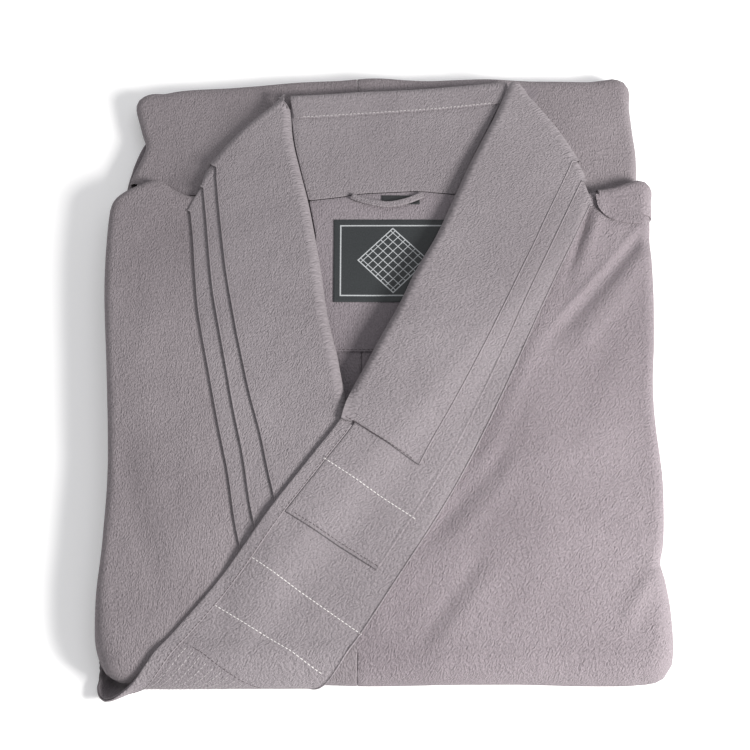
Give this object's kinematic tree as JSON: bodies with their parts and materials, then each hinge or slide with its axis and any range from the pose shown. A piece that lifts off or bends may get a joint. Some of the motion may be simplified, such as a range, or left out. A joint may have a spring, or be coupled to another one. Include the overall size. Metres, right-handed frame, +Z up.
{
  "type": "folded buddhist monk robe",
  "caption": "Long wrap-over monk's robe in crinkled cotton with a broad stepped collar, neatly folded flat with the neck on top.",
  "frame": {"origin": "middle of the pile's footprint, on the surface it lies on", "axes": "+Z up from the surface, +Y towards the collar, +X towards the wearer's left side"},
  "size_m": [0.414, 0.4974, 0.0526],
  "materials": {
    "crinkled_cotton": "matte crinkled plain weave, dusty mauve grey",
    "edge_binding": "matte plain weave, dusty mauve grey, with a stitched edge",
    "label_satin": "smooth woven satin, charcoal",
    "size_label_satin": "smooth woven satin, near black"
  },
  "bodies": {
    "root": {"folded_layers": "crinkled_cotton", "back_left": "crinkled_cotton", "back_right": "crinkled_cotton", "back_inside_left": "crinkled_cotton", "back_inside_right": "crinkled_cotton", "back_facing": "crinkled_cotton", "collar_back": "crinkled_cotton", "collar_back_hem": "crinkled_cotton", "collar_right_base": "crinkled_cotton", "collar_right_middle": "crinkled_cotton", "collar_right_top": "crinkled_cotton", "collar_left_base": "crinkled_cotton", "collar_left_middle": "crinkled_cotton", "collar_left_top": "crinkled_cotton", "collar_left_binding": "edge_binding", "front_right": "crinkled_cotton", "front_left": "crinkled_cotton", "front_left_panel": "crinkled_cotton", "sleeve_left": "crinkled_cotton", "hanger_loop": "crinkled_cotton", "neck_label": "label_satin", "size_label": "size_label_satin"}
  },
  "joints": []
}
